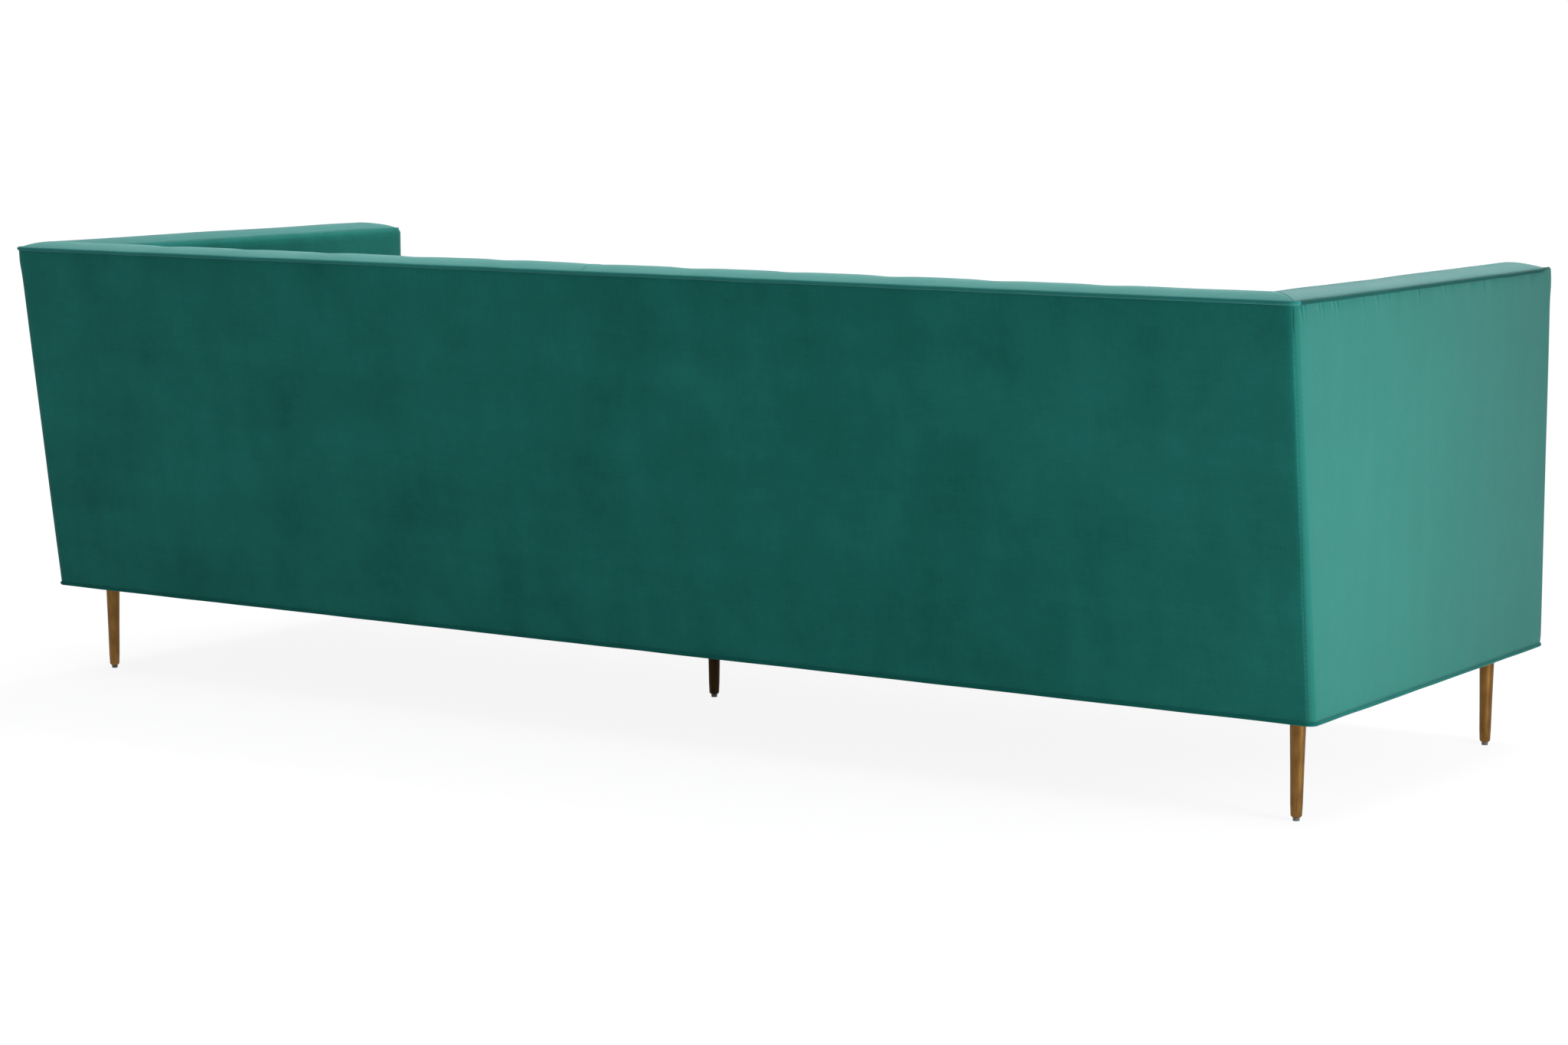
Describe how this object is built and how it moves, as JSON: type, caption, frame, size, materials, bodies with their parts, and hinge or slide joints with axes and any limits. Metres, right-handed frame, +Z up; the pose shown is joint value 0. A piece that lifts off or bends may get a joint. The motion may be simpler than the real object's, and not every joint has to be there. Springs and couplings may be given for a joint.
{
  "type": "tuxedo sofa",
  "caption": "Long velvet sofa with arms and back of one height, a leaning back, rounded corded tops, loose seat cushions and slim tapered metal legs.",
  "frame": {"origin": "middle of the footprint box at floor level, under the glides", "axes": "+X towards the sitter's left, -Y is the front, +Z up"},
  "size_m": [2.435, 0.9225, 0.762],
  "materials": {
    "velvet": "matte",
    "velvet_cord": "matte",
    "aged_brass": "satin",
    "glide_plastic": "matte",
    "timber": "matte",
    "plywood": "matte",
    "steel": "satin",
    "card": "matte",
    "felt": "matte",
    "webbing": "matte",
    "foam": "matte",
    "dust_cloth": "matte",
    "zip_plastic": "matte"
  },
  "bodies": {
    "sofa": {"front_seat_rail": "timber", "rear_seat_rail": "timber", "left_seat_rail": "timber", "right_seat_rail": "timber", "centre_stretchers": "timber", "corner_plates": "plywood", "middle_leg_plate": "plywood", "corner_blocks": "timber", "left_arm_posts": "timber", "right_arm_posts": "timber", "left_arm_rails": "timber", "right_arm_rails": "timber", "back_ribs": "plywood", "back_top_rail": "timber", "back_tack_rail": "timber", "insert_nuts": "steel", "leg_studs": "steel", "frame_screws": "steel", "arm_bolts": "steel", "arm_bolt_nuts": "steel", "seat_springs": "steel", "spring_clips": "steel", "spring_ties": "card", "seat_felt": "felt", "seat_deck": "velvet", "back_webbing": "webbing", "back_foam": "foam", "inside_back": "velvet", "arm_linings": "card", "arm_foams": "foam", "left_inside_arm": "velvet", "right_inside_arm": "velvet", "top_padding": "foam", "back_top": "velvet", "left_arm_top": "velvet", "right_arm_top": "velvet", "front_padding": "foam", "left_arm_front": "velvet", "right_arm_front": "velvet", "front_border": "velvet", "outside_lining_boards": "card", "tack_strips": "card", "outside_back": "velvet", "left_outside_arm": "velvet", "right_outside_arm": "velvet", "top_cord": "velvet_cord", "bottom_cord": "velvet_cord", "dust_cover": "dust_cloth", "front_left_leg": "aged_brass", "front_right_leg": "aged_brass", "rear_left_leg": "aged_brass", "rear_right_leg": "aged_brass", "middle_leg": "aged_brass", "leg_glides": "glide_plastic"},
    "left_cushion": {"seat_cushion_cover_left": "velvet", "seat_cushion_core_left": "foam", "seat_cushion_zip_left": "zip_plastic"},
    "right_cushion": {"seat_cushion_cover_right": "velvet", "seat_cushion_core_right": "foam", "seat_cushion_zip_right": "zip_plastic"}
  },
  "joints": [
    {"name": "left_cushion_lift", "type": "slide", "parent": "sofa", "child": "left_cushion", "axis": [0, 0, 1], "range_m": [0, 0.47]},
    {"name": "right_cushion_lift", "type": "slide", "parent": "sofa", "child": "right_cushion", "axis": [0, 0, 1], "range_m": [0, 0.47]}
  ]
}
